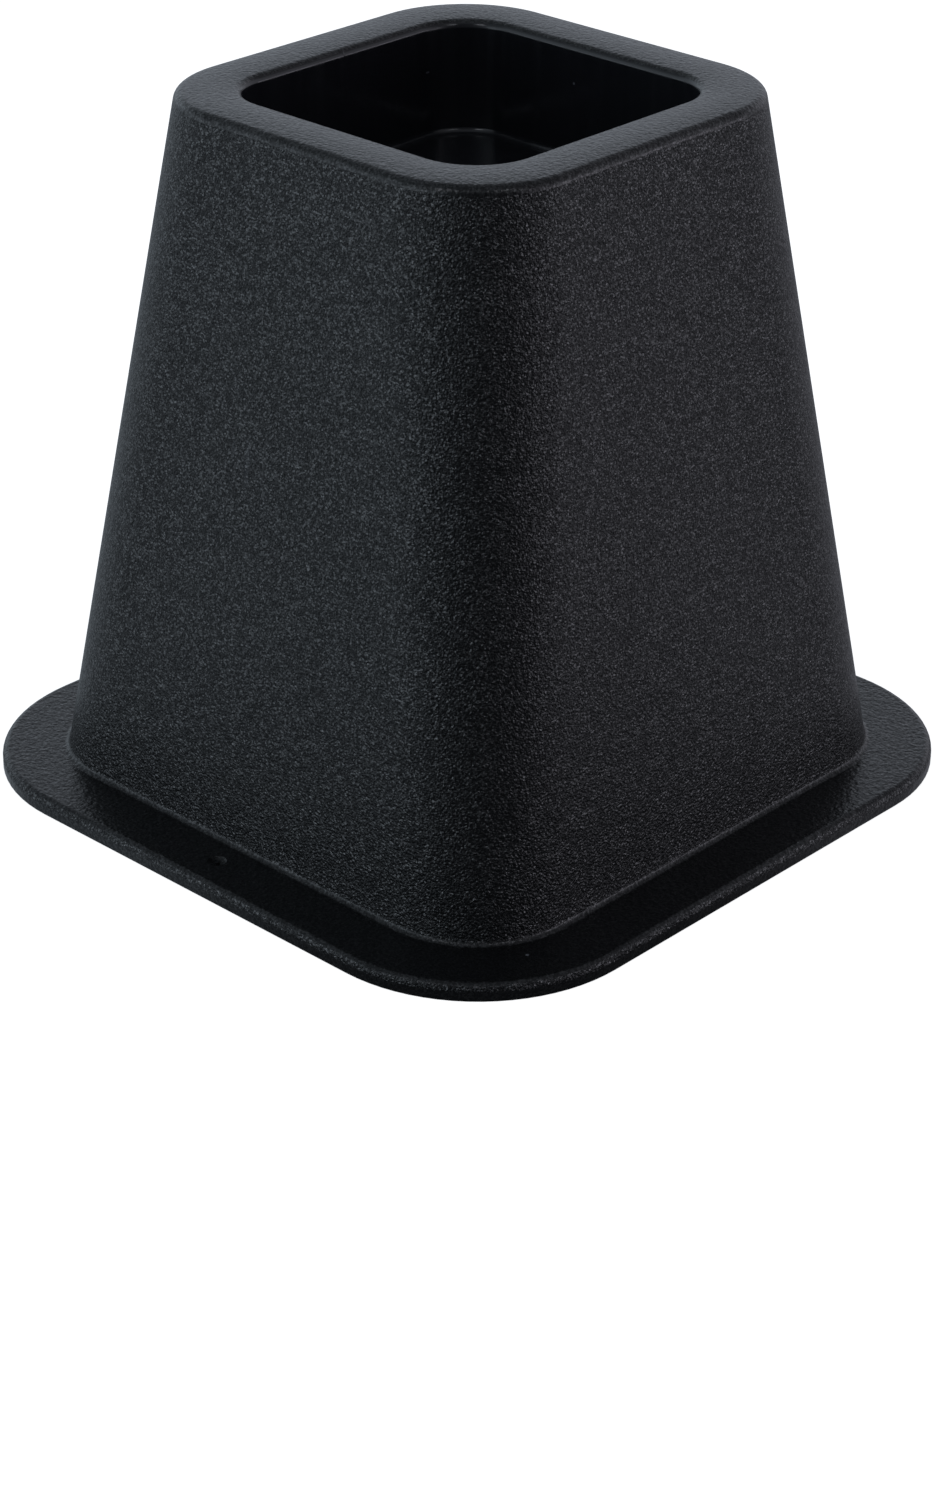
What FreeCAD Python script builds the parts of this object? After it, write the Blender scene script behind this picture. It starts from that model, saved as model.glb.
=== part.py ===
import FreeCAD, Part
import Sketcher
import math
import os

# Bed riser: one moulded polypropylene shell, square and tapered, hollow underneath, with a foot
# flange at the bottom and a cup hung in the top that the leg of the bed stands in.
# Millimetres. Z is up, and the origin is the middle of the foot's underside.

SIZES = [
    # tapered tower, measured over the outside
    ("total_height", 164.0),
    ("tower_base_width", 148.2),
    ("tower_top_width", 105.8),
    ("tower_corner", 25.3),
    ("wall_thickness", 2.5),
    ("rim_outer_round", 2.3),
    ("rim_inner_round", 2.2),
    ("rim_dip", 0.6),
    ("rim_level_edge", 1.0),
    # foot flange, an even strip round the tower's base
    ("foot_reach", 14.9),
    ("foot_thickness", 4.1),
    ("foot_shoulder_round", 1.8),
    ("foot_arris_round", 0.3),
    ("foot_to_tower_round", 1.5),
    # cup for the leg
    ("cup_mouth_width", 78.3),
    ("cup_mouth_corner", 13.8),
    ("cup_floor_width", 77.1),
    ("cup_depth", 26.9),
    ("cup_wall", 2.2),
    ("cup_floor_thickness", 2.5),
    ("cup_floor_fillet", 1.4),
    # ribs beside and under the cup, whose lower edges lie one stacking pitch below the rim
    ("stack_pitch", 39.6),
    ("rib_spacing", 46.0),
    ("rib_edge_thickness", 1.6),
    ("rib_root_thickness", 2.4),
    # dimple round the moulding gate, on the flange at the middle of one side
    ("gate_from_tower", 6.5),
    ("gate_dimple_width", 4.4),
    ("gate_dimple_depth", 0.6),
]

NODE = "bed_riser"
SIDES = 4
FULL_TURN = 360.0
QUARTER = math.pi / 2
LEVEL_WITHIN = 0.01  # an edge nearer than this to a height lies at it
UP = FreeCAD.Vector(0, 0, 1)

doc = FreeCAD.newDocument("BedRiser")
sheet = doc.addObject("Spreadsheet::Sheet", "Sizes")
for row, (alias, value) in enumerate(SIZES, start=1):
    sheet.set(f"A{row}", alias)
    sheet.set(f"B{row}", str(value))
    sheet.setAlias(f"B{row}", alias)
doc.recompute()

body = doc.addObject("PartDesign::Body", NODE)
body.Label = NODE
origin = {item.Role: item for item in body.Origin.OriginFeatures}


# Expressions on the sheet

def sized(text):
    """An expression on the sheet, from words of which some name its cells."""
    aliases = {alias for alias, value in SIZES}
    return " ".join(f"Sizes.{word}" if word in aliases else word for word in text.split())


def now(text):
    """What an expression comes to with the sizes as they stand, in millimetres."""
    return float(body.evalExpression(sized(text)))


def mid_wall_width_at(height):
    """Width of the tower at a height, measured between the middles of its walls."""
    taper = "( tower_base_width - tower_top_width )"
    return f"( tower_base_width - {taper} * ( {height} ) / total_height - wall_thickness )"


GROUND = "0"
FOOT_TOP = "foot_thickness"
TOP = "total_height"
MID_RIM = "total_height - wall_thickness / 2"
CUP_FLOOR = "total_height - cup_depth"
CUP_UNDERSIDE = "total_height - cup_depth - cup_floor_thickness"
RIB_EDGE = "total_height - stack_pitch"
FOOT_WIDTH = "( tower_base_width + 2 * foot_reach )"
FOOT_CORNER = "( tower_corner + foot_reach )"
MID_WALL_CORNER = "( tower_corner - wall_thickness / 2 )"
SIDE_TAPER = "atan( ( tower_base_width - tower_top_width ) / 2 / total_height )"
CUP_FLOOR_CORNER = "( cup_mouth_corner - ( cup_mouth_width - cup_floor_width ) / 2 )"
RIM_DISH_WIDTH = "( tower_top_width - 2 * rim_outer_round - 2 * rim_level_edge )"
RIM_DISH_CORNER = f"( cup_mouth_corner + ( {RIM_DISH_WIDTH} - cup_mouth_width ) / 2 )"


# Sketches

def new_sketch(name, plane):
    sketch = body.newObject("Sketcher::SketchObject", name)
    sketch.AttachmentSupport = [(origin[plane], "")]
    sketch.MapMode = "FlatFace"
    return sketch


def level_sketch(name, height):
    """An empty sketch parallel to the ground at a height."""
    sketch = new_sketch(name, "XY_Plane")
    sketch.setExpression("AttachmentOffset.Base.z", sized(height))
    return sketch


def constrain(sketch, *parts):
    sketch.addConstraint(Sketcher.Constraint(*parts))


def dimension(sketch, name, value, *parts):
    """A named driving dimension that follows an expression."""
    constrain(sketch, *parts, now(value))
    sketch.renameConstraint(sketch.ConstraintCount - 1, name)
    sketch.setExpression(f"Constraints.{name}", sized(value))


def sharp_square(name, height, width):
    """A square centred on the Z axis and level at a height."""
    sketch = level_sketch(name, height)
    half = now(width) / 2
    corners = [(-half, -half), (half, -half), (half, half), (-half, half)]
    points = [FreeCAD.Vector(x, y, 0) for x, y in corners]
    for start, stop in zip(points, points[1:] + points[:1]):
        sketch.addGeometry(Part.LineSegment(start, stop), False)
    for line in range(SIDES):
        constrain(sketch, "Coincident", line, 2, (line + 1) % SIDES, 1)
    for line, way in zip(range(SIDES), ("Horizontal", "Vertical") * 2):
        constrain(sketch, way, line)
    constrain(sketch, "Equal", 0, 1)
    constrain(sketch, "Symmetric", 0, 1, 2, 1, -1, 1)
    dimension(sketch, "width", width, "DistanceX", 0, 1, 0, 2)
    return sketch


def rounded_square(name, height, width, corner):
    """A square with rounded corners, centred on the Z axis and level at a height."""
    sketch = level_sketch(name, height)
    add_rounded_square(sketch, "", width, corner)
    return sketch


def add_rounded_square(sketch, prefix, width, corner):
    """Adds the outline to a sketch, with its dimensions named after a prefix."""
    first = sketch.GeometryCount
    half = now(width) / 2
    radius = now(corner)
    flat = half - radius
    for side in range(SIDES):
        spin = FreeCAD.Rotation(UP, math.degrees(side * QUARTER))
        start = spin.multVec(FreeCAD.Vector(half, -flat, 0))
        end = spin.multVec(FreeCAD.Vector(half, flat, 0))
        centre = spin.multVec(FreeCAD.Vector(flat, flat, 0))
        circle = Part.Circle(centre, UP, radius)
        sketch.addGeometry(Part.LineSegment(start, end), False)
        sketch.addGeometry(Part.ArcOfCircle(circle, side * QUARTER, (side + 1) * QUARTER), False)
    lines = range(first, first + 2 * SIDES, 2)
    arcs = range(first + 1, first + 2 * SIDES, 2)
    for line, arc, next_line in zip(lines, arcs, [*lines[1:], lines[0]]):
        constrain(sketch, "Tangent", line, 2, arc, 1)
        constrain(sketch, "Tangent", arc, 2, next_line, 1)
    for line, way in zip(lines, ("Vertical", "Horizontal") * 2):
        constrain(sketch, way, line)
    for arc in arcs[1:]:
        constrain(sketch, "Equal", arcs[0], arc)
    constrain(sketch, "Equal", lines[0], lines[1])
    constrain(sketch, "Symmetric", arcs[0], 3, arcs[2], 3, -1, 1)
    dimension(sketch, f"{prefix}corner", corner, "Radius", arcs[0])
    dimension(sketch, f"{prefix}flat", f"{width} - 2 * {corner}", "DistanceY", lines[0], 1, lines[0], 2)


def bar(name, height, length, thickness, from_middle):
    """A rectangle along X, set off from the middle along Y and level at a height."""
    sketch = level_sketch(name, height)
    end = now(length) / 2
    near = now(from_middle) - now(thickness) / 2
    far = now(from_middle) + now(thickness) / 2
    corners = [(-end, near), (end, near), (end, far), (-end, far)]
    points = [FreeCAD.Vector(x, y, 0) for x, y in corners]
    for start, stop in zip(points, points[1:] + points[:1]):
        sketch.addGeometry(Part.LineSegment(start, stop), False)
    for line in range(SIDES):
        constrain(sketch, "Coincident", line, 2, (line + 1) % SIDES, 1)
    constrain(sketch, "Symmetric", 0, 1, 0, 2, -2)
    constrain(sketch, "Vertical", 1)
    constrain(sketch, "Horizontal", 2)
    constrain(sketch, "Vertical", 3)
    dimension(sketch, "length", length, "DistanceX", 0, 1, 0, 2)
    dimension(sketch, "thickness", thickness, "DistanceY", 1, 1, 1, 2)
    dimension(sketch, "near", f"{from_middle} - {thickness} / 2", "DistanceY", -1, 1, 0, 1)
    return sketch


# Features

def finish_feature(feature):
    feature.Refine = True
    doc.recompute()
    return feature


def pad(name, outline, height):
    """A straight solid that rises from a sketch."""
    feature = body.newObject("PartDesign::Pad", name)
    feature.Profile = outline
    feature.setExpression("Length", sized(height))
    return finish_feature(feature)


def loft(kind, name, low, high):
    """A straight-sided solid between two level sketches, added or cut."""
    feature = body.newObject(kind, name)
    feature.Profile = low
    feature.Sections = [high]
    feature.Ruled = True
    return finish_feature(feature)


def level_ring(shape, height, inside, outside, within):
    """Names of the level edges close to a height whose reach from the middle lies between two values."""
    names = []
    for number, edge in enumerate(shape.Edges, start=1):
        box = edge.BoundBox
        reach = max(-box.XMin, box.XMax, -box.YMin, box.YMax)
        drop = max(abs(box.ZMin - height), abs(box.ZMax - height))
        if drop < within and box.ZLength < LEVEL_WITHIN and inside < reach < outside:
            names.append(f"Edge{number}")
    return names


def fillet(name, radius, edges):
    base = body.Tip
    feature = body.newObject("PartDesign::Fillet", name)
    feature.Base = (base, edges)
    feature.setExpression("Radius", sized(radius))
    return finish_feature(feature)


def round_ring(name, radius, height, inside, outside, within=f"{LEVEL_WITHIN}"):
    """Rounds the level edges close to a height that lie between two widths."""
    ring = level_ring(body.Tip.Shape, now(height), now(inside) / 2, now(outside) / 2, now(within))
    return fillet(name, radius, ring)


# Tower: a square block whose sides lean in towards the rim and whose corners are rounded

block = pad("block", sharp_square("tower_base", GROUND, "tower_base_width"), TOP)
sides = [f"Face{number}" for number, face in enumerate(block.Shape.Faces, start=1)
         if abs(face.normalAt(0, 0).z) < LEVEL_WITHIN]
leaning = body.newObject("PartDesign::Draft", "leaning_sides")
leaning.Base = (block, sides)
leaning.NeutralPlane = (origin["XY_Plane"], [""])
leaning.setExpression("Angle", sized(SIDE_TAPER))
finish_feature(leaning)
standing = [f"Edge{number}" for number, edge in enumerate(leaning.Shape.Edges, start=1)
            if edge.BoundBox.ZLength > LEVEL_WITHIN]
tower = fillet("tower_corners", "tower_corner", standing)

# Hollow: one wall thickness all round and under the rim, and open at the ground, so that risers nest

underside = [f"Face{number}" for number, face in enumerate(tower.Shape.Faces, start=1)
             if face.BoundBox.ZMax < LEVEL_WITHIN]
hollow = body.newObject("PartDesign::Thickness", "hollow")
hollow.Base = (tower, underside)
hollow.Reversed = True
hollow.setExpression("Value", sized("wall_thickness"))
finish_feature(hollow)

# Foot flange: a ring whose inner edge ends inside the wall

foot_outline = level_sketch("foot_outline", GROUND)
add_rounded_square(foot_outline, "outer_", FOOT_WIDTH, FOOT_CORNER)
add_rounded_square(foot_outline, "inner_", mid_wall_width_at(GROUND), MID_WALL_CORNER)
foot = pad("foot", foot_outline, FOOT_TOP)

# Four ribs, two each way, from wall to wall: each is thicker at its root and ends inside the wall

rib = loft(
    "PartDesign::AdditiveLoft", "rib",
    bar("rib_edge", RIB_EDGE, mid_wall_width_at(RIB_EDGE), "rib_edge_thickness", "rib_spacing / 2"),
    bar("rib_root", MID_RIM, mid_wall_width_at(MID_RIM), "rib_root_thickness", "rib_spacing / 2"),
)
ribs = body.newObject("PartDesign::PolarPattern", "ribs")
ribs.Originals = [rib]
ribs.Axis = (origin["Z_Axis"], [""])
ribs.Angle = FULL_TURN
ribs.Occurrences = SIDES
body.Tip = ribs
finish_feature(ribs)

# Cup: its outside hangs from the rim, and the recess for the leg is cut last

cup = loft(
    "PartDesign::AdditiveLoft", "cup",
    rounded_square("cup_outside_low", CUP_UNDERSIDE, "( cup_floor_width + 2 * cup_wall )",
                   f"( {CUP_FLOOR_CORNER} + cup_wall )"),
    rounded_square("cup_outside_high", MID_RIM, "( cup_mouth_width + 2 * cup_wall )",
                   "( cup_mouth_corner + cup_wall )"),
)
recess = loft(
    "PartDesign::SubtractiveLoft", "recess",
    rounded_square("recess_floor", CUP_FLOOR, "cup_floor_width", CUP_FLOOR_CORNER),
    rounded_square("recess_mouth", TOP, "cup_mouth_width", "cup_mouth_corner"),
)

# Rim: its top falls a little towards the cup, from a level edge

rim_dish = loft(
    "PartDesign::SubtractiveLoft", "rim_dish",
    rounded_square("rim_dish_low", "total_height - rim_dip", "( cup_mouth_width - 2 * rim_dip )",
                   "( cup_mouth_corner - rim_dip )"),
    rounded_square("rim_dish_high", TOP, RIM_DISH_WIDTH, RIM_DISH_CORNER),
)

# Rounded edges

tower_to_foot = "( tower_base_width + foot_reach )"
past_the_foot = "( tower_base_width + 3 * foot_reach )"
cup_to_rim = "( cup_mouth_width + tower_top_width ) / 2"
cup_to_dish = f"( cup_mouth_width + {RIM_DISH_WIDTH} ) / 2"
dish_to_edge = f"( {RIM_DISH_WIDTH} + tower_top_width ) / 2"
inner_round = f"min( rim_inner_round ; ( {RIM_DISH_WIDTH} - cup_mouth_width ) / 2 )"
round_ring("tower_foot_round", "foot_to_tower_round", FOOT_TOP, "cup_mouth_width", tower_to_foot)
round_ring("foot_shoulder", "foot_shoulder_round", FOOT_TOP, tower_to_foot, past_the_foot)
round_ring("foot_arris", "foot_arris_round", GROUND, tower_to_foot, past_the_foot)
round_ring("rim_outside", "rim_outer_round", TOP, dish_to_edge, "2 * tower_top_width")
round_ring("rim_inside", inner_round, TOP, "0", cup_to_dish, "rim_dip")
round_ring("recess_floor_round", "cup_floor_fillet", CUP_FLOOR, "0", cup_to_rim)

# Gate dimple: a shallow dish on the flange, at the middle of the -Y side

dish = new_sketch("gate_dish", "YZ_Plane")
dish.setExpression("AttachmentOffset.Base.x", sized("-1 * ( tower_base_width / 2 + gate_from_tower )"))
dish.setExpression("AttachmentOffset.Base.y", sized(FOOT_TOP))
edge = now("gate_dimple_width") / 2
depth = now("gate_dimple_depth")
middle = FreeCAD.Vector(0, 0, 0)
lowest = FreeCAD.Vector(0, -depth, 0)
rim = FreeCAD.Vector(edge, 0, 0)
ball = (edge ** 2 + depth ** 2) / (2 * depth)
ball_centre = FreeCAD.Vector(0, ball - depth, 0)
start_angle = -QUARTER
end_angle = math.asin((depth - ball) / ball)
dish.addGeometry(Part.LineSegment(middle, lowest), False)
dish.addGeometry(Part.ArcOfCircle(Part.Circle(ball_centre, UP, ball), start_angle, end_angle), False)
dish.addGeometry(Part.LineSegment(rim, middle), False)
constrain(dish, "Coincident", 0, 1, -1, 1)
constrain(dish, "Coincident", 0, 2, 1, 1)
constrain(dish, "Coincident", 1, 2, 2, 1)
constrain(dish, "Coincident", 2, 2, 0, 1)
constrain(dish, "PointOnObject", 1, 3, -2)
constrain(dish, "Vertical", 0)
constrain(dish, "Horizontal", 2)
dimension(dish, "width", "gate_dimple_width / 2", "DistanceX", 2, 2, 2, 1)
dimension(dish, "depth", "gate_dimple_depth", "DistanceY", 0, 2, 0, 1)
gate = body.newObject("PartDesign::Groove", "gate_dimple")
gate.Profile = dish
gate.ReferenceAxis = (dish, ["V_Axis"])
gate.Angle = FULL_TURN
finish_feature(gate)


# Checks, then the solid

for item in doc.Objects:
    bad = [state for state in item.State if state in ("Invalid", "Error")]
    if bad:
        raise SystemExit(f"{item.Label}: {bad}")
for feature in (block, foot, rib, cup):
    before = feature.BaseFeature.Shape.Volume if feature.BaseFeature else 0.0
    if feature.Shape.Volume <= before:
        raise SystemExit(f"{feature.Label} adds nothing")
for feature in (leaning, tower, hollow, recess, rim_dish, gate):
    if feature.Shape.Volume >= feature.BaseFeature.Shape.Volume:
        raise SystemExit(f"{feature.Label} cuts nothing")
shape = body.Shape
if shape.isNull() or not shape.isValid() or len(shape.Solids) != 1:
    raise SystemExit(f"{NODE} is not one valid solid")
for sketch in doc.findObjects("Sketcher::SketchObject"):
    if not sketch.FullyConstrained:
        raise SystemExit(f"{sketch.Label} is not fully constrained")

os.makedirs("parts", exist_ok=True)
shape.exportStep(f"parts/{NODE}.step")
box = shape.optimalBoundingBox()
print(f"{NODE}: {box.XLength:.2f} x {box.YLength:.2f} x {box.ZLength:.2f} mm")
print(f"volume {shape.Volume / 1000:.2f} cm3, {len(shape.Faces)} faces")
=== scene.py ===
import math

import bmesh
import bpy
from mathutils import Matrix, Vector


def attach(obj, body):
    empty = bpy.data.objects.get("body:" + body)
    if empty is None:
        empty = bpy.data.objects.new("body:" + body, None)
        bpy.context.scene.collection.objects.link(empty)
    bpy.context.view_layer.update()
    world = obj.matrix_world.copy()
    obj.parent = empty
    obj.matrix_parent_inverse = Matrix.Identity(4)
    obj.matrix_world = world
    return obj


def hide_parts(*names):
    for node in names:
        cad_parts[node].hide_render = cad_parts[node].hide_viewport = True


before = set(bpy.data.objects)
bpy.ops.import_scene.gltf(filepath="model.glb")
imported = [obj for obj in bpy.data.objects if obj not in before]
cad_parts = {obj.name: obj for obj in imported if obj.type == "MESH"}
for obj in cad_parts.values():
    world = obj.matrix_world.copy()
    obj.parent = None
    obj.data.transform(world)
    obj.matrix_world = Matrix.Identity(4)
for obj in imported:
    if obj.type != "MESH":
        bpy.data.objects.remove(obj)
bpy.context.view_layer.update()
mm = 0.001


# Materials

def colour(text):
    # sRGB hex to linear
    parts = [int(text[i:i + 2], 16) / 255 for i in (1, 3, 5)]
    return tuple(p / 12.92 if p <= 0.04045 else ((p + 0.055) / 1.055) ** 2.4 for p in parts) + (1.0,)


def node(tree, kind, settings=None, inputs=None):
    # adds one node, with its settings, its values and the sockets that feed it
    item = tree.nodes.new(kind)
    for key, value in (settings or {}).items():
        setattr(item, key, value)
    for key, value in (inputs or {}).items():
        if isinstance(value, bpy.types.NodeSocket):
            tree.links.new(value, item.inputs[key])
        else:
            item.inputs[key].default_value = value
    return item


def newMaterial(name):
    material = bpy.data.materials.new(name)
    material.use_nodes = True
    material.node_tree.nodes.clear()
    return material, material.node_tree


grains = {
    # sizes from one pebble or wrinkle to the next, and the wrinkles' height, in millimetres. The real
    # pebbles are about 0.2 mm, too fine to show, and are drawn as coarse as they need.
    "sides": {"pebble": 0.38, "wrinkle": 0.55, "height": 0.4, "roughness": 0.34,
              "dull": 0.24, "bright": 1.7, "rare": 4.0},
    "tops": {"pebble": 0.4, "wrinkle": 1.1, "height": 0.16, "roughness": 0.28,
             "dull": 0.3, "bright": 0.85, "rare": 2.0},
}
marks = {
    # pale scuffs and nicks: the middle and half sizes in millimetres, and how strong each one is
    "sides": [((84.5, -70.0, 1.6), (4.0, 1.6, 0.8), 0.5), ((-7.1, -62.3, 92.0), (1.1, 1.5, 8.0), 0.12),
              ((-11.5, -62.1, 94.0), (0.5, 1.5, 4.0), 0.1)],
    "tops": [((75.8, -62.0, 4.1), (0.5, 0.5, 0.6), 0.8)],
    "cup": [((-39.2, 26.7, 152.4), (0.6, 0.9, 0.4), 0.6), ((-30.5, 39.2, 155.2), (1.0, 0.6, 0.3), 0.5),
            ((-4.6, 39.2, 154.6), (0.4, 0.6, 0.4), 0.8)],
}
# the polished tone is paler than the moulded black of the same plastic: painted light that brightens the
# cup's walls and floor in their recess
black = {"moulded": "#0a0b0c", "polished": "#17181b", "plain": "#090a0a", "scuffed": "#6c6f74"}
scuffCore = 0.4  # the share of a mark's size over which it has its full strength
polish = {
    # roughness between the streaks and in them, and the pattern's values between which it changes
    "smooth": 0.11, "rubbed": 0.26, "streakFrom": 0.35, "streakTo": 0.65,
    # sizes in millimetres: streaks, ripples, and the line where the mould's two halves met
    "streak": 3.0, "streakLength": 60.0, "ripple": 9.0, "rippleHeight": 0.01,
    "witnessSide": -38.0, "witnessHalf": 0.35, "witnessHeight": 0.06,
}
underside = {"roughness": 0.34, "texture": 1.6, "height": 0.02}
plasticIndex = 1.49  # index of refraction of polypropylene


def scuffed(tree, place, tone, places):
    # a tone, made paler where the marks are
    worn = 0.0
    for middle, halfSize, strength in places:
        away = node(tree, "ShaderNodeVectorMath", {"operation": "SUBTRACT"},
                    {0: place, 1: [value * mm for value in middle]}).outputs["Vector"]
        reach = node(tree, "ShaderNodeVectorMath", {"operation": "DIVIDE"},
                     {0: away, 1: [value * mm for value in halfSize]}).outputs["Vector"]
        distance = node(tree, "ShaderNodeVectorMath", {"operation": "LENGTH"}, {0: reach}).outputs["Value"]
        spot = node(tree, "ShaderNodeMapRange", {},
                    {"Value": distance, "From Min": scuffCore, "From Max": 1.0,
                     "To Min": strength, "To Max": 0.0})
        worn = node(tree, "ShaderNodeMath", {"operation": "MAXIMUM"},
                    {0: worn, 1: spot.outputs["Result"]}).outputs[0]
    return node(tree, "ShaderNodeMix", {"data_type": "RGBA"},
                {0: worn, 6: colour(tone), 7: colour(black["scuffed"])}).outputs[2]


def grainedPolypropylene(name, grain, places):
    # black polypropylene from a spark-eroded mould: wrinkles that spread the highlights, and pebbles
    # that each face their own way, so that a few of them spark and most stay dull
    material, tree = newMaterial(name)
    place = node(tree, "ShaderNodeTexCoord").outputs["Object"]
    wrinkles = node(tree, "ShaderNodeTexNoise", {},
                    {"Vector": place, "Scale": 1 / (grain["wrinkle"] * mm), "Detail": 1.0, "Roughness": 0.6})
    bump = node(tree, "ShaderNodeBump", {},
                {"Strength": 1.0, "Distance": grain["height"] * mm, "Height": wrinkles.outputs["Fac"]})
    pebbles = node(tree, "ShaderNodeTexVoronoi", {}, {"Vector": place, "Scale": 1 / (grain["pebble"] * mm)})
    chance = node(tree, "ShaderNodeSeparateColor", {}, {0: pebbles.outputs["Color"]})
    facing = node(tree, "ShaderNodeMath", {"operation": "POWER"}, {0: chance.outputs[0], 1: grain["rare"]})
    shine = node(tree, "ShaderNodeMapRange", {},
                 {"Value": facing.outputs[0], "From Min": 0.0, "From Max": 1.0,
                  "To Min": grain["dull"], "To Max": grain["bright"]})
    shader = node(tree, "ShaderNodeBsdfPrincipled", {},
                  {"Base Color": scuffed(tree, place, black["moulded"], places),
                   "Roughness": grain["roughness"], "IOR": plasticIndex,
                   "Specular IOR Level": shine.outputs["Result"], "Normal": bump.outputs["Normal"]})
    node(tree, "ShaderNodeOutputMaterial", {}, {"Surface": shader.outputs["BSDF"]})
    return material


def polishedPolypropylene(name, places):
    # the cup's own core of the mould was polished upwards: it shines, with faint upright streaks, and
    # its two halves met in a thin raised line
    material, tree = newMaterial(name)
    place = node(tree, "ShaderNodeTexCoord").outputs["Object"]
    drawn = node(tree, "ShaderNodeMapping", {},
                 {"Vector": place, "Scale": (1, 1, polish["streak"] / polish["streakLength"])})
    streaks = node(tree, "ShaderNodeTexNoise", {},
                   {"Vector": drawn.outputs["Vector"], "Scale": 1 / (polish["streak"] * mm), "Detail": 2.0})
    rubbed = node(tree, "ShaderNodeMapRange", {},
                  {"Value": streaks.outputs["Fac"], "From Min": polish["streakFrom"],
                   "From Max": polish["streakTo"], "To Min": polish["smooth"], "To Max": polish["rubbed"]})
    waves = node(tree, "ShaderNodeTexNoise", {}, {"Vector": place, "Scale": 1 / (polish["ripple"] * mm)})
    rippled = node(tree, "ShaderNodeBump", {},
                   {"Strength": 1.0, "Distance": polish["rippleHeight"] * mm, "Height": waves.outputs["Fac"]})
    axes = node(tree, "ShaderNodeSeparateXYZ", {}, {0: place})
    offLine = node(tree, "ShaderNodeMath", {"operation": "ABSOLUTE"}, {0: axes.outputs["Y"]})
    line = node(tree, "ShaderNodeMapRange", {"interpolation_type": "SMOOTHSTEP"},
                {"Value": offLine.outputs[0], "From Min": 0.0, "From Max": polish["witnessHalf"] * mm,
                 "To Min": 1.0, "To Max": 0.0})
    side = node(tree, "ShaderNodeMath", {"operation": "LESS_THAN"},
                {0: axes.outputs["X"], 1: polish["witnessSide"] * mm})
    witness = node(tree, "ShaderNodeMath", {"operation": "MULTIPLY"},
                   {0: line.outputs["Result"], 1: side.outputs[0]})
    raised = node(tree, "ShaderNodeBump", {},
                  {"Strength": 1.0, "Distance": polish["witnessHeight"] * mm,
                   "Height": witness.outputs[0], "Normal": rippled.outputs["Normal"]})
    # the base colour is the paler polished tone, painted light in the cup's recess, with the real scuffs
    # mixed over it
    shader = node(tree, "ShaderNodeBsdfPrincipled", {},
                  {"Base Color": scuffed(tree, place, black["polished"], places),
                   "Roughness": rubbed.outputs["Result"], "IOR": plasticIndex,
                   "Normal": raised.outputs["Normal"]})
    node(tree, "ShaderNodeOutputMaterial", {}, {"Surface": shader.outputs["BSDF"]})
    return material


def plainPolypropylene(name, tone, roughness, size, height):
    # the side that nobody sees: a mould left as it was machined, dull and a little uneven
    material, tree = newMaterial(name)
    place = node(tree, "ShaderNodeTexCoord").outputs["Object"]
    waves = node(tree, "ShaderNodeTexNoise", {}, {"Vector": place, "Scale": 1 / (size * mm), "Detail": 2.0})
    bump = node(tree, "ShaderNodeBump", {},
                {"Strength": 1.0, "Distance": height * mm, "Height": waves.outputs["Fac"]})
    shader = node(tree, "ShaderNodeBsdfPrincipled", {},
                  {"Base Color": colour(tone), "Roughness": roughness, "IOR": plasticIndex,
                   "Normal": bump.outputs["Normal"]})
    node(tree, "ShaderNodeOutputMaterial", {}, {"Surface": shader.outputs["BSDF"]})
    return material


surfaces = (
    grainedPolypropylene("grained_polypropylene", grains["sides"], marks["sides"]),
    grainedPolypropylene("fine_grained_polypropylene", grains["tops"], marks["tops"]),
    polishedPolypropylene("polished_polypropylene_with_painted_light", marks["cup"]),
    plainPolypropylene("plain_polypropylene", black["plain"], underside["roughness"],
                       underside["texture"], underside["height"]),
)
finishes = {"grained": 0, "fine": 1, "polished": 2, "plain": 3}  # their places in the list above
print("materials done")


# The shell, in millimetres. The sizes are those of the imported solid, which stays the frame.

riser = {
    "height": 164.0, "baseHalf": 74.1, "topHalf": 52.9, "corner": 25.3, "wall": 2.5,
    "footReach": 14.9, "footThickness": 4.1, "shoulderRound": 1.8, "arrisRound": 0.3, "footFillet": 1.5,
    "rimRound": 2.3, "lipRound": 2.0, "rimCrownRadius": 64.0,
    "cupMouthHalf": 39.15, "cupFloorHalf": 38.55, "cupCorner": 13.8, "cupDepth": 26.9,
    "cupWall": 2.2, "cupFloorThickness": 2.5, "cupFillet": 1.4,
}
steps = {
    # how finely each stretch is divided, and after how many points of a round its finish changes
    "corner": 20, "round": 8, "crown": 8, "side": 8, "arris": 4,
    "lipPolished": 5, "filletGrained": 3, "shoulderFine": 5,
}
hair = 0.05  # level rings stand this far apart in height, so that the bridge between them runs true
weld = 0.005  # corners nearer than this to each other are made one
smoothBelow = 32  # faces that meet at less than this many degrees are shaded as one


def arc(middle, radius, start, stop, count):
    # points (half width, height) on a round seen in section, angles in degrees from straight out
    angles = [math.radians(start + (stop - start) * step / count) for step in range(count + 1)]
    return [(middle[0] + radius * math.cos(a), middle[1] + radius * math.sin(a)) for a in angles]


def towerHalf(height):
    return riser["baseHalf"] - (riser["baseHalf"] - riser["topHalf"]) * height / riser["height"]


def cupHalf(height):
    drop = riser["height"] - height
    return riser["cupMouthHalf"] - (riser["cupMouthHalf"] - riser["cupFloorHalf"]) * drop / riser["cupDepth"]


def midFloorHeight():
    # halfway through the cup's floor
    return riser["height"] - riser["cupDepth"] - riser["cupFloorThickness"] / 2


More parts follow.
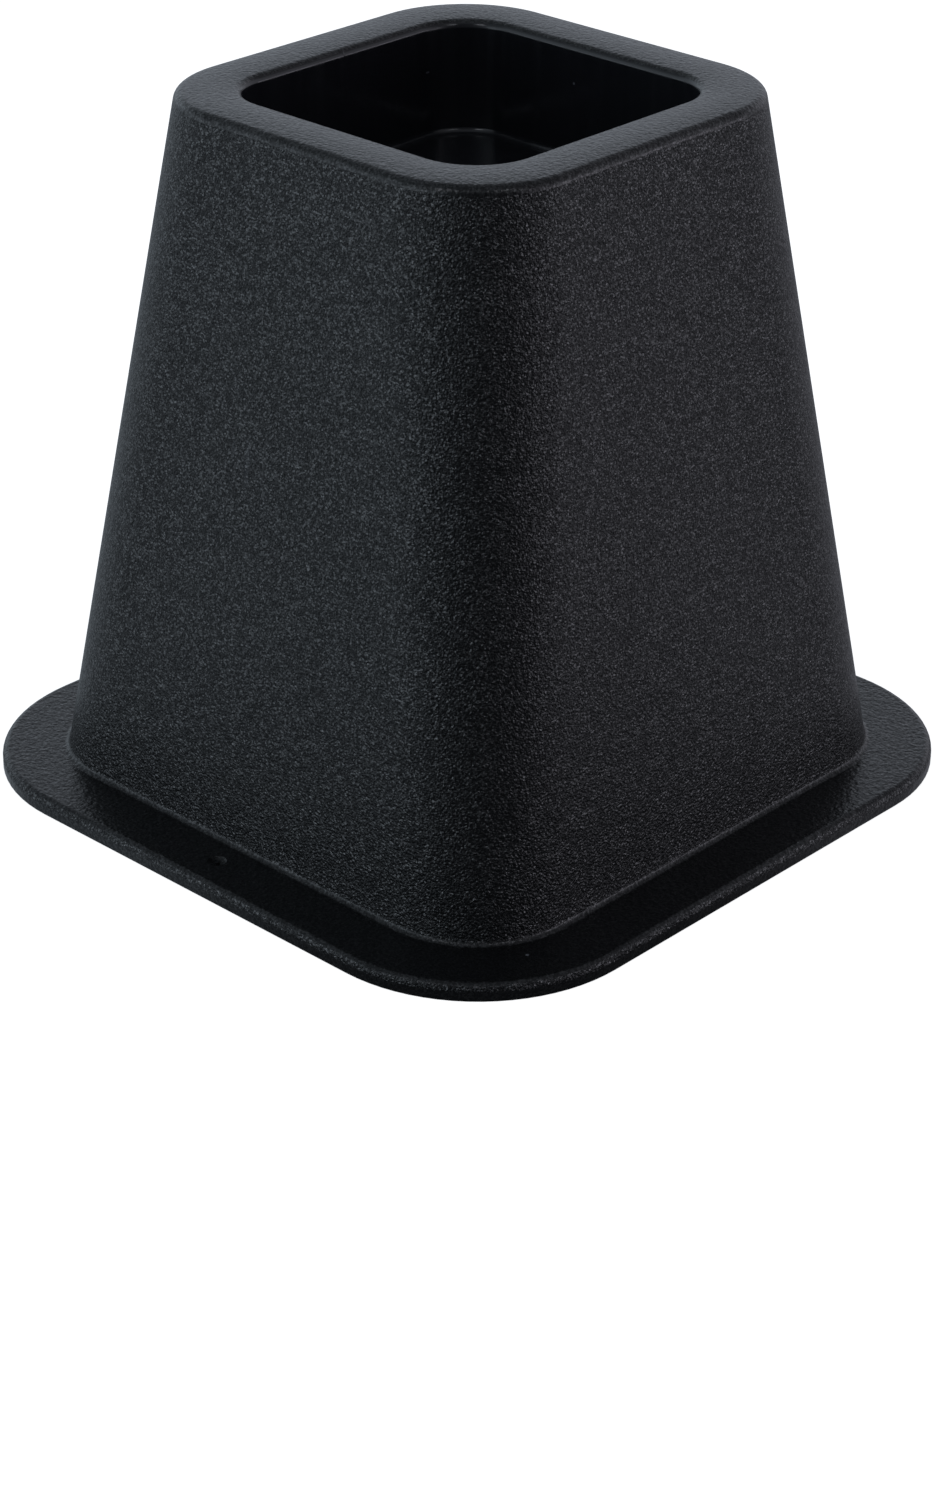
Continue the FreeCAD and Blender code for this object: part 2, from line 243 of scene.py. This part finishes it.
def sectionStations():
    # one closed path round the wall: each station is (half width, corner middle, height, finish)
    lean = math.atan((riser["baseHalf"] - riser["topHalf"]) / riser["height"])
    draft = math.atan((riser["cupMouthHalf"] - riser["cupFloorHalf"]) / riser["cupDepth"])
    leanDeg, draftDeg = math.degrees(lean), math.degrees(draft)
    floorHeight = riser["height"] - riser["cupDepth"]
    cupMiddle = riser["cupMouthHalf"] - riser["cupCorner"]
    cornerRun = riser["corner"] * math.cos(lean)  # how far the corner's round reaches along a side
    innerRun = (riser["corner"] - riser["wall"]) * math.cos(lean)
    stations = []

    def add(points, middles, finish):
        for number, (half, height) in enumerate(points):
            middle = middles[0] + (middles[1] - middles[0]) * number / max(len(points) - 1, 1)
            stations.append((half, middle, height, finish))

    # cup, from the floor up to the lip
    fillet = riser["cupFillet"]
    filletHeight = floorHeight + fillet
    filletHalf = cupHalf(filletHeight) - fillet / math.cos(draft)
    add(arc((filletHalf, filletHeight), fillet, -90, -draftDeg, steps["round"]),
        (cupMiddle, cupMiddle), "polished")

    # rim: lip, crown and outer round are three arcs tangent to one another
    crown, lip, rim = riser["rimCrownRadius"], riser["lipRound"], riser["rimRound"]
    rimOut = towerHalf(riser["height"] - rim) - rim / math.cos(lean)
    rimIn = cupHalf(riser["height"] - lip) + lip / math.cos(draft)
    rimMiddle = (rimOut + rimIn) / 2
    crownHeight = riser["height"] - crown
    outTilt = math.asin((rimOut - rimMiddle) / (crown - rim))
    inTilt = math.asin((rimMiddle - rimIn) / (crown - lip))
    lipHeight = crownHeight + (crown - lip) * math.cos(inTilt)
    rimHeight = crownHeight + (crown - rim) * math.cos(outTilt)
    towerMiddle = towerHalf(rimHeight) - cornerRun
    turn = arc((rimIn, lipHeight), lip, 180 - draftDeg, 90 + math.degrees(inTilt), steps["round"])
    add(turn[:steps["lipPolished"]], (cupMiddle, cupMiddle), "polished")
    add(turn[steps["lipPolished"]:], (cupMiddle, cupMiddle), "fine")
    add(arc((rimMiddle, crownHeight), crown, 90 + math.degrees(inTilt), 90 - math.degrees(outTilt),
            steps["crown"])[1:-1], (cupMiddle, towerMiddle), "fine")
    add(arc((rimOut, rimHeight), rim, 90 - math.degrees(outTilt), leanDeg, steps["round"]),
        (towerMiddle, towerMiddle), "fine")

    # leaning side, from the rim down to the fillet on the foot
    foot = riser["footFillet"]
    footHeight = riser["footThickness"] + foot
    footHalf = towerHalf(footHeight) + foot / math.cos(lean)
    high = rimHeight + rim * math.sin(lean)
    low = footHeight - foot * math.sin(lean)
    for step in range(1, steps["side"]):
        height = high + (low - high) * step / steps["side"]
        stations.append((towerHalf(height), towerHalf(height) - cornerRun, height, "grained"))
    footMiddle = towerHalf(footHeight) - cornerRun
    turn = arc((footHalf, footHeight), foot, 180 + leanDeg, 270, steps["round"])
    add(turn[:steps["filletGrained"]], (footMiddle, footMiddle), "grained")
    add(turn[steps["filletGrained"]:], (footMiddle, footMiddle), "fine")

    # flange: shoulder, edge, arris and underside
    edge = riser["baseHalf"] + riser["footReach"]
    edgeMiddle = riser["baseHalf"] - riser["corner"]
    shoulder, arris = riser["shoulderRound"], riser["arrisRound"]
    turn = arc((edge - shoulder, riser["footThickness"] - shoulder), shoulder, 90, 0, steps["round"])
    add(turn[:steps["shoulderFine"]], (edgeMiddle, edgeMiddle), "fine")
    add(turn[steps["shoulderFine"]:], (edgeMiddle, edgeMiddle), "grained")
    add(arc((edge - arris, arris), arris, 0, -90, steps["arris"]), (edgeMiddle, edgeMiddle), "fine")

    # hollow, from its mouth up to the roof, then the cup's outside and underside
    inset = riser["wall"] / math.cos(lean)
    roof = riser["height"] - riser["wall"]
    for step in range(steps["side"] + 1):
        height = hair + (roof - hair) * step / steps["side"]
        half = towerHalf(height) - inset
        stations.append((half, half - innerRun, height, "plain"))
    for height in (roof - hair, floorHeight - riser["cupFloorThickness"]):
        stations.append((cupHalf(height) + riser["cupWall"], cupMiddle, height, "plain"))
    return stations


def emptyPiece(name):
    bpy.ops.object.select_all(action="DESELECT")
    bpy.ops.mesh.primitive_plane_add(size=1)
    piece = bpy.context.object
    piece.name = name
    piece.data.name = name
    dress(piece)
    bpy.ops.object.mode_set(mode="EDIT")
    bpy.ops.mesh.delete(type="VERT")
    return piece


def dress(piece):
    # the materials, in the order that the finishes count on
    for surface in surfaces:
        piece.data.materials.append(surface)


def addRing(half, middle, height, keepFace):
    # a plane whose four corners are rounded; what it adds is left selected
    bpy.ops.mesh.select_all(action="DESELECT")
    bpy.ops.mesh.primitive_plane_add(size=2 * half * mm, location=(0, 0, height * mm))
    bpy.ops.mesh.bevel(offset=(half - middle) * mm, segments=steps["corner"], affect="VERTICES",
                       clamp_overlap=False)
    if not keepFace:
        bpy.ops.mesh.delete(type="ONLY_FACE")


def selectLastRings(mesh, ringSize):
    # the edges of the two rings added last that have an open side
    shell = bmesh.from_edit_mesh(mesh)
    shell.verts.ensure_lookup_table()
    last = set(shell.verts[-2 * ringSize:])
    for vertex in shell.verts:
        vertex.select_set(False)
    for edge in shell.edges:
        if edge.verts[0] in last and edge.verts[1] in last and len(edge.link_faces) < 2:
            edge.select_set(True)
    bmesh.update_edit_mesh(mesh)


def buildShell():
    piece = emptyPiece("riser_shell")
    ringSize = 4 * (steps["corner"] + 1)
    stations = sectionStations()
    for number, (half, middle, height, finish) in enumerate(stations):
        addRing(half, middle, height, number in (0, len(stations) - 1))
        if number == 0:
            continue
        selectLastRings(piece.data, ringSize)
        bpy.ops.mesh.bridge_edge_loops()
        shell = bmesh.from_edit_mesh(piece.data)
        for face in shell.faces:
            if face.select:
                face.material_index = finishes[finish]
        bmesh.update_edit_mesh(piece.data)
    shell = bmesh.from_edit_mesh(piece.data)
    for face in shell.faces:
        if len(face.verts) > 4:
            top = face.calc_center_median().z > midFloorHeight() * mm
            face.material_index = finishes["polished" if top else "plain"]
    bpy.ops.mesh.select_all(action="SELECT")
    bpy.ops.mesh.normals_make_consistent(inside=False)
    bpy.ops.object.mode_set(mode="OBJECT")
    print("shell:", len(piece.data.vertices), "vertices", len(piece.data.polygons), "faces")
    return piece


def midWallHalf(height):
    return towerHalf(height) - riser["wall"] / 2


# Ribs, in millimetres: two each way, from wall to wall beside and under the cup

ribs = {
    "fromMiddle": 23.0, "edgeHeight": 124.4, "edgeThickness": 1.6, "rootThickness": 2.4,
}


def buildRib():
    # an upright sheet of three by two faces with the cup's room left out, then given its thickness
    bottom, top = ribs["edgeHeight"], riser["height"] - riser["wall"] / 2
    cupWay = cupHalf(top) + riser["cupWall"] / 2
    rows = (bottom, midFloorHeight(), top)
    bpy.ops.object.select_all(action="DESELECT")
    bpy.ops.mesh.primitive_grid_add(x_subdivisions=3, y_subdivisions=2, size=2)
    rib = bpy.context.object
    rib.name = "rib"
    dress(rib)
    bpy.ops.object.mode_set(mode="EDIT")
    sheet = bmesh.from_edit_mesh(rib.data)
    for face in sheet.faces:
        centre = face.calc_center_median()
        face.select_set(abs(centre.x) < 0.1 and centre.y > 0)
    bmesh.update_edit_mesh(rib.data)
    bpy.ops.mesh.delete(type="FACE")
    sheet = bmesh.from_edit_mesh(rib.data)
    for vertex in sheet.verts:
        height = rows[round(vertex.co.y) + 1]
        reach = midWallHalf(height) if abs(vertex.co.x) > 0.5 else cupWay
        vertex.co = Vector((math.copysign(reach, vertex.co.x), 0, height)) * mm
    bmesh.update_edit_mesh(rib.data)
    bpy.ops.mesh.select_all(action="SELECT")
    bpy.ops.mesh.extrude_region_move(TRANSFORM_OT_translate={"value": (0, mm, 0)})
    sheet = bmesh.from_edit_mesh(rib.data)
    for vertex in sheet.verts:
        share = (vertex.co.z / mm - bottom) / (top - bottom)
        thickness = ribs["edgeThickness"] + (ribs["rootThickness"] - ribs["edgeThickness"]) * share
        vertex.co.y = (0.5 if vertex.co.y > mm / 2 else -0.5) * thickness * mm
    bmesh.update_edit_mesh(rib.data)
    bpy.ops.mesh.select_all(action="SELECT")
    bpy.ops.mesh.normals_make_consistent(inside=False)
    bpy.ops.object.mode_set(mode="OBJECT")
    return rib


def joinRibs(shell):
    for side, turned in ((1, False), (1, True), (-1, False), (-1, True)):
        rib = buildRib()
        bpy.ops.object.mode_set(mode="EDIT")
        bpy.ops.mesh.select_all(action="SELECT")
        bpy.ops.transform.translate(value=(0, side * ribs["fromMiddle"] * mm, 0))
        if turned:
            bpy.ops.transform.rotate(value=math.pi / 2, orient_axis="Z", center_override=(0, 0, 0))
        bpy.ops.object.mode_set(mode="OBJECT")
        for polygon in rib.data.polygons:
            polygon.material_index = finishes["plain"]
        combine(shell, rib, "UNION")


def combine(piece, tool, operation):
    # joins or cuts, and makes one of what came out closer together than the weld
    bpy.ops.object.select_all(action="DESELECT")
    bpy.context.view_layer.objects.active = piece
    piece.select_set(True)
    cut = piece.modifiers.new("combine", "BOOLEAN")
    cut.operation = operation
    cut.solver = "EXACT"
    cut.material_mode = "INDEX"
    cut.object = tool
    bpy.ops.object.modifier_apply(modifier=cut.name)
    bpy.data.objects.remove(tool)
    bpy.ops.object.mode_set(mode="EDIT")
    bpy.ops.mesh.select_all(action="SELECT")
    bpy.ops.mesh.remove_doubles(threshold=weld * mm)
    bpy.ops.mesh.dissolve_degenerate(threshold=weld * mm)
    bpy.ops.object.mode_set(mode="OBJECT")


# Gate, in millimetres: the dimple round the place where the plastic was fed in, on the foot's -Y side

gate = {
    "fromMiddle": 80.6, "width": 4.4, "depth": 0.6, "segments": 48, "rings": 96,
    "stubWidth": 1.1, "stubHeight": 0.35, "stubSides": 24,
}


def buildGateTool():
    # a ball whose cap is the dimple, less the stub left where the feed was cut off
    half, depth = gate["width"] / 2, gate["depth"]
    ball = (half ** 2 + depth ** 2) / (2 * depth)
    centre = (0, -gate["fromMiddle"] * mm, (riser["footThickness"] - depth + ball) * mm)
    bpy.ops.object.select_all(action="DESELECT")
    bpy.ops.mesh.primitive_uv_sphere_add(segments=gate["segments"], ring_count=gate["rings"],
                                         radius=ball * mm, location=centre)
    tool = bpy.context.object
    dress(tool)
    bpy.ops.object.transform_apply(location=True, rotation=True, scale=True)
    bpy.ops.mesh.primitive_cylinder_add(
        vertices=gate["stubSides"], radius=gate["stubWidth"] / 2 * mm, depth=2 * gate["stubHeight"] * mm,
        location=(0, centre[1], (riser["footThickness"] - depth) * mm))
    stub = bpy.context.object
    dress(stub)
    bpy.ops.object.transform_apply(location=True, rotation=True, scale=True)
    combine(tool, stub, "DIFFERENCE")
    for polygon in tool.data.polygons:
        polygon.material_index = finishes["fine"]
    return tool


shell = buildShell()
joinRibs(shell)
combine(shell, buildGateTool(), "DIFFERENCE")
bpy.ops.object.select_all(action="DESELECT")
shell.select_set(True)
bpy.context.view_layer.objects.active = shell
bpy.ops.object.shade_smooth_by_angle(angle=math.radians(smoothBelow))
weighted = shell.modifiers.new("weighted_normals", "WEIGHTED_NORMAL")
weighted.keep_sharp = True
bpy.ops.object.modifier_apply(modifier=weighted.name)
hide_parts("bed_riser")
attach(shell, "root")
print("shell with ribs and gate:", len(shell.data.vertices), "vertices", len(shell.data.polygons), "faces")


# Floor, background and lamps

studio = {
    "floorColour": "#e6e6e6", "floorSize": 6.0, "floorGlow": 0.85,
    # strength of the reflections in the floor and the room, on the camera's side and behind
    "sheenFront": 0.09, "sheenBack": 0.39, "roomFront": 0.12, "roomBack": 0.87,
    # degrees by which the dark side is turned from the camera's, and where it starts and ends to
    # brighten, as cosines of the angle from straight behind it
    "darkTurn": 10.0, "darkFrom": -0.98, "brightFrom": -0.4,
    # the room's strength near the floor and overhead, and between which heights (sines) each changes
    "horizon": 0.92, "horizonFrom": 0.05, "horizonTo": 0.3,
    "ceiling": 0.38, "ceilingFrom": 0.35, "ceilingTo": 0.65,
    "leftTint": "#e4f2ff", "rightTint": "#d8dae6", "tintReach": 0.6,
}
lamps = {
    # angle in degrees from the camera's side, then metres, and watts
    "left_softbox": {"turn": -75, "away": 1.2, "up": 0.2, "wide": 1.2, "tall": 0.3,
                     "power": 0.65, "tint": "#e4f2ff"},
    "right_softbox": {"turn": 80, "away": 1.2, "up": 0.2, "wide": 0.8, "tall": 0.3,
                      "power": 1.0, "tint": "#f4f0ff"},
    "left_front_softbox": {"turn": -50, "away": 1.2, "up": 0.35, "wide": 0.3, "tall": 0.7,
                           "power": 0.45, "tint": "#e8f4ff"},
    "right_front_softbox": {"turn": 56, "away": 1.2, "up": 0.35, "wide": 0.3, "tall": 0.7,
                            "power": 0.35, "tint": "#f4f0ff"},
    "left_high_softbox": {"turn": -32, "away": 1.0, "up": 1.1, "wide": 0.3, "tall": 0.3,
                          "power": 0.7, "tint": "#f2f6ff"},
    "right_high_softbox": {"turn": 32, "away": 1.0, "up": 1.1, "wide": 0.3, "tall": 0.3,
                           "power": 0.7, "tint": "#f2f6ff"},
}


def softbox(name, values):
    # an area lamp that faces the middle of the riser
    lamp = bpy.data.lights.new(name, "AREA")
    lamp.shape = "RECTANGLE"
    lamp.size = values["wide"]
    lamp.size_y = values["tall"]
    lamp.energy = values["power"]
    lamp.color = colour(values["tint"])[:3]
    item = bpy.data.objects.new(name, lamp)
    bpy.context.collection.objects.link(item)
    item.location = around(values["turn"], values["away"], values["up"])
    middle = Vector((0, 0, riser["height"] / 2 * mm))
    item.rotation_euler = (middle - item.location).to_track_quat("-Z", "Y").to_euler()


def glow(tree, way, backWay, rightWay, front, back):
    # light that is weak towards the camera's side and strong behind, cool on the left
    along = node(tree, "ShaderNodeVectorMath", {"operation": "DOT_PRODUCT"}, {0: way, 1: backWay})
    across = node(tree, "ShaderNodeVectorMath", {"operation": "DOT_PRODUCT"}, {0: way, 1: rightWay})
    strength = node(tree, "ShaderNodeMapRange", {"interpolation_type": "SMOOTHSTEP"},
                    {"Value": along.outputs["Value"], "From Min": studio["darkFrom"],
                     "From Max": studio["brightFrom"], "To Min": front, "To Max": back})
    side = node(tree, "ShaderNodeMapRange", {},
                {"Value": across.outputs["Value"], "From Min": -studio["tintReach"],
                 "From Max": studio["tintReach"]})
    tint = node(tree, "ShaderNodeMix", {"data_type": "RGBA"},
                {0: side.outputs["Result"], 6: colour(studio["leftTint"]), 7: colour(studio["rightTint"])})
    return strength.outputs["Result"], tint.outputs[2]


def buildFloor(backWay, rightWay):
    # white paper to the camera, with the object's shadow; in the reflections it is dim at the front
    bpy.ops.object.select_all(action="DESELECT")
    bpy.ops.mesh.primitive_plane_add(size=studio["floorSize"], location=(0, 0, 0))
    floor = bpy.context.object
    floor.name = "floor"
    material, tree = newMaterial("pale_floor")
    path = node(tree, "ShaderNodeLightPath")
    place = node(tree, "ShaderNodeTexCoord").outputs["Object"]
    way = node(tree, "ShaderNodeVectorMath", {"operation": "NORMALIZE"}, {0: place}).outputs["Vector"]
    strength, tint = glow(tree, way, backWay, rightWay, studio["sheenFront"], studio["sheenBack"])
    sheen = node(tree, "ShaderNodeEmission", {}, {"Color": tint, "Strength": strength})
    paper = node(tree, "ShaderNodeBsdfDiffuse", {}, {"Color": colour(studio["floorColour"])})
    lift = node(tree, "ShaderNodeMath", {"operation": "MULTIPLY"},
                {0: path.outputs["Is Camera Ray"], 1: studio["floorGlow"]})
    light = node(tree, "ShaderNodeEmission", {}, {"Color": (1, 1, 1, 1), "Strength": lift.outputs[0]})
    seen = node(tree, "ShaderNodeAddShader", {}, {0: paper.outputs[0], 1: light.outputs[0]})
    both = node(tree, "ShaderNodeMixShader", {},
                {0: path.outputs["Is Glossy Ray"], 1: seen.outputs[0], 2: sheen.outputs[0]})
    node(tree, "ShaderNodeOutputMaterial", {}, {"Surface": both.outputs[0]})
    floor.data.materials.append(material)


def buildRoom(backWay, rightWay):
    # a pale wall round the object as high as the lamps reach, dark on the camera's side and overhead
    world = bpy.data.worlds.new("studio")
    bpy.context.scene.world = world
    world.use_nodes = True
    tree = world.node_tree
    tree.nodes.clear()
    way = node(tree, "ShaderNodeTexCoord").outputs["Generated"]
    strength, tint = glow(tree, way, backWay, rightWay, studio["roomFront"], studio["roomBack"])
    up = node(tree, "ShaderNodeSeparateXYZ", {}, {0: way})
    wall = node(tree, "ShaderNodeMapRange", {"interpolation_type": "SMOOTHSTEP"},
                {"Value": up.outputs["Z"], "From Min": studio["ceilingFrom"],
                 "From Max": studio["ceilingTo"], "To Min": 1.0, "To Max": studio["ceiling"]})
    low = node(tree, "ShaderNodeMapRange", {"interpolation_type": "SMOOTHSTEP"},
               {"Value": up.outputs["Z"], "From Min": studio["horizonFrom"],
                "From Max": studio["horizonTo"], "To Min": studio["horizon"], "To Max": 1.0})
    band = node(tree, "ShaderNodeMath", {"operation": "MULTIPLY"},
                {0: low.outputs["Result"], 1: wall.outputs["Result"]})
    level = node(tree, "ShaderNodeMath", {"operation": "MULTIPLY"}, {0: strength, 1: band.outputs[0]})
    room = node(tree, "ShaderNodeBackground", {}, {"Color": tint, "Strength": level.outputs[0]})
    white = node(tree, "ShaderNodeBackground", {}, {"Color": (1, 1, 1, 1), "Strength": 1.0})
    path = node(tree, "ShaderNodeLightPath")
    both = node(tree, "ShaderNodeMixShader", {},
                {0: path.outputs["Is Camera Ray"], 1: room.outputs[0], 2: white.outputs[0]})
    node(tree, "ShaderNodeOutputWorld", {}, {"Surface": both.outputs[0]})


# Camera: where the photograph was taken from, worked out from the outlines

view = {
    "azimuth": 43.307, "tilt": 23.780, "roll": 0.237, "away": 0.7456, "height": 0.4061,
    "focal": 3584.0, "centreX": 469.3, "centreY": 450.0,  # pixels of the 936 x 1500 frame
    "frameWide": 936, "frameHigh": 1500, "sensor": 36.0,
}


def buildCamera():
    az, tilt, roll = (math.radians(view[key]) for key in ("azimuth", "tilt", "roll"))
    back = Vector((math.sin(az) * math.cos(tilt), -math.cos(az) * math.cos(tilt), math.sin(tilt)))
    right = Vector((math.cos(az), math.sin(az), 0))
    up = back.cross(right)
    right, up = (right * math.cos(roll) + up * math.sin(roll), up * math.cos(roll) - right * math.sin(roll))
    camera = bpy.data.cameras.new("camera")
    camera.sensor_width = view["sensor"]
    camera.lens = view["focal"] * view["sensor"] / view["frameHigh"]
    camera.shift_x = (view["frameWide"] / 2 - view["centreX"]) / view["frameHigh"]
    camera.shift_y = (view["centreY"] - view["frameHigh"] / 2) / view["frameHigh"]
    item = bpy.data.objects.new("camera", camera)
    bpy.context.collection.objects.link(item)
    turn = Matrix((right, up, back)).transposed()
    item.matrix_world = Matrix.Translation((math.sin(az) * view["away"], -math.cos(az) * view["away"],
                                            view["height"])) @ turn.to_4x4()
    bpy.context.scene.camera = item
    return back


towardsCamera = buildCamera()
print("camera done")
level = Vector((towardsCamera.x, towardsCamera.y, 0)).normalized()


def around(turn, distance, height):
    # a place at an angle in degrees from the camera's side, seen from above, anticlockwise
    a = math.radians(turn)
    way = Vector((level.x * math.cos(a) - level.y * math.sin(a),
                  level.x * math.sin(a) + level.y * math.cos(a), 0))
    return way * distance + Vector((0, 0, height))


backWay = tuple(around(180 + studio["darkTurn"], 1, 0))
rightWay = tuple(around(90, 1, 0))
buildFloor(backWay, rightWay)
buildRoom(backWay, rightWay)
for name, values in lamps.items():
    softbox(name, values)
bpy.context.scene.view_settings.view_transform = "Standard"
print("studio done:", len(lamps), "lamps")
